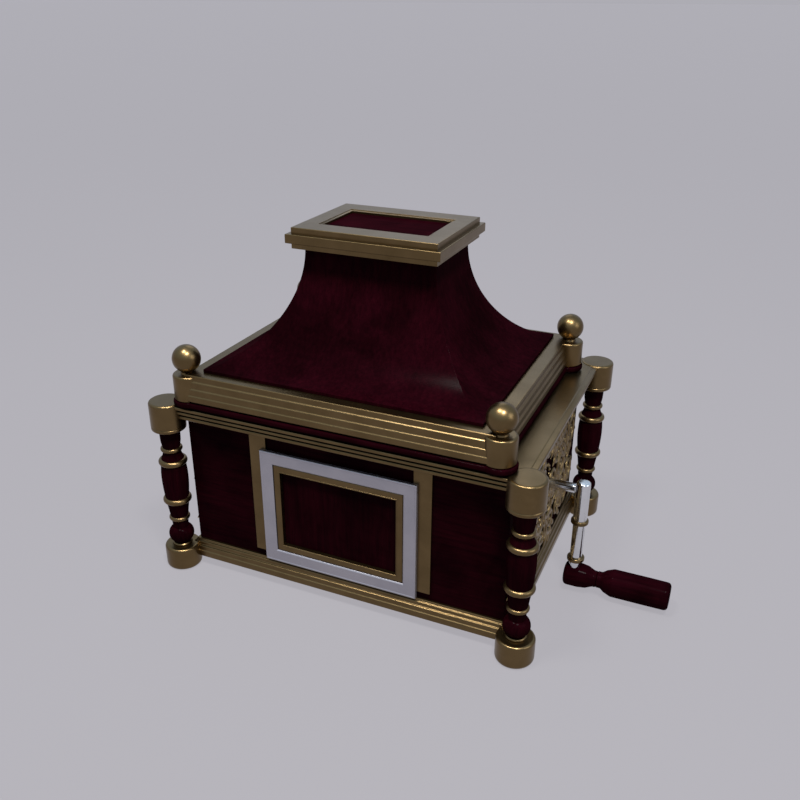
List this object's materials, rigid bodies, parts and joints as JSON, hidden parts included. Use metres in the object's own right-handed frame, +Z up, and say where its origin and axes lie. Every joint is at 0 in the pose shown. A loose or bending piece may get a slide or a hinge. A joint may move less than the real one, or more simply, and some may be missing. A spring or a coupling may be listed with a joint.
{
  "type": "cranked barrel piano",
  "caption": "Lacquered box on turned corner columns with brass mouldings, a flared hinged lid and a side crank that turns a pinned barrel under sprung hammers and strings.",
  "frame": {"origin": "middle of the whole object's box, crank handle included, on the plane that the feet stand on", "axes": "+Z up, +X towards the crank handle, -Y towards the framed front"},
  "size_m": [0.5236, 0.3234, 0.3715],
  "materials": {
    "lacquer": "dark burgundy lacquer, satin gloss",
    "brass": "satin, slightly aged",
    "silver": "satin",
    "chrome": "polished",
    "steel": "plain turned",
    "spruce": "planed, unfinished"
  },
  "bodies": {
    "case": {"bottom_board": "lacquer", "front_panel": "lacquer", "back_panel": "lacquer", "left_panel": "lacquer", "right_panel": "lacquer", "plaque_panel": "lacquer", "column_front_left": "lacquer", "column_front_right": "lacquer", "column_back_left": "lacquer", "column_back_right": "lacquer", "case_top_moulding": "brass", "case_base_moulding": "brass", "front_strip_left": "brass", "front_strip_right": "brass", "brass_frame": "brass", "left_fretwork": "brass", "right_fretwork": "brass", "hinge_case_leaf": "brass", "shaft_bush": "brass", "cap_front_left": "brass", "cap_front_right": "brass", "cap_back_left": "brass", "cap_back_right": "brass", "foot_front_left": "brass", "foot_front_right": "brass", "foot_back_left": "brass", "foot_back_right": "brass", "silver_frame": "silver", "hinge_pin": "steel", "hammer_rail": "steel", "string_1": "steel", "string_2": "steel", "string_3": "steel", "string_4": "steel", "left_bearing": "spruce", "right_bearing": "spruce", "string_plank": "spruce", "string_bridge": "spruce"},
    "lid": {"lid_board": "lacquer", "lid_moulding": "brass", "roof_shell": "lacquer", "roof_cap": "brass", "roof_cap_panel": "lacquer", "hinge_lid_leaf": "brass", "finial_front_left": "brass", "finial_front_right": "brass", "finial_back_left": "brass", "finial_back_right": "brass"},
    "crank": {"crank_shaft": "chrome", "crank_arm": "chrome", "crank_hub": "lacquer", "grip_spindle": "steel", "crank_pinion": "steel"},
    "grip": {"crank_grip": "lacquer"},
    "barrel": {"barrel": "spruce", "barrel_gear": "brass"},
    "hammer_1": {"hammer_1": "spruce"},
    "hammer_2": {"hammer_2": "spruce"},
    "hammer_3": {"hammer_3": "spruce"},
    "hammer_4": {"hammer_4": "spruce"}
  },
  "joints": [
    {"name": "lid_hinge", "type": "hinge", "parent": "case", "child": "lid", "pos_m": [-0.05278, 0.12775, 0.2007], "axis": [-1, 0, 0], "range_deg": [0, 100]},
    {"name": "crank_spin", "type": "hinge", "parent": "case", "child": "crank", "pos_m": [0.16323, -0.0133, 0.1205], "axis": [1, 0, 0], "continuous": true},
    {"name": "grip_spin", "type": "hinge", "parent": "crank", "child": "grip", "pos_m": [0.18777, -0.0133, 0.0175], "axis": [1, 0, 0], "continuous": true},
    {"name": "barrel_spin", "type": "hinge", "parent": "case", "child": "barrel", "pos_m": [-0.05278, -0.04865, 0.08514], "axis": [1, 0, 0], "continuous": true},
    {"name": "hammer_1_swing", "type": "hinge", "parent": "case", "child": "hammer_1", "pos_m": [-0.13678, 0.01794, 0.08514], "axis": [1, 0, 0], "range_deg": [-3, 14], "stiffness_Nm_per_rad": 0.5},
    {"name": "hammer_2_swing", "type": "hinge", "parent": "case", "child": "hammer_2", "pos_m": [-0.08077, 0.01794, 0.08514], "axis": [1, 0, 0], "range_deg": [-3, 14], "stiffness_Nm_per_rad": 0.5},
    {"name": "hammer_3_swing", "type": "hinge", "parent": "case", "child": "hammer_3", "pos_m": [-0.02477, 0.01794, 0.08514], "axis": [1, 0, 0], "range_deg": [-3, 14], "stiffness_Nm_per_rad": 0.5},
    {"name": "hammer_4_swing", "type": "hinge", "parent": "case", "child": "hammer_4", "pos_m": [0.03122, 0.01794, 0.08514], "axis": [1, 0, 0], "range_deg": [-3, 14], "stiffness_Nm_per_rad": 0.5}
  ],
  "couplings": [
    {"joint": "barrel_spin", "follows": "crank_spin", "ratio": -0.31579}
  ]
}
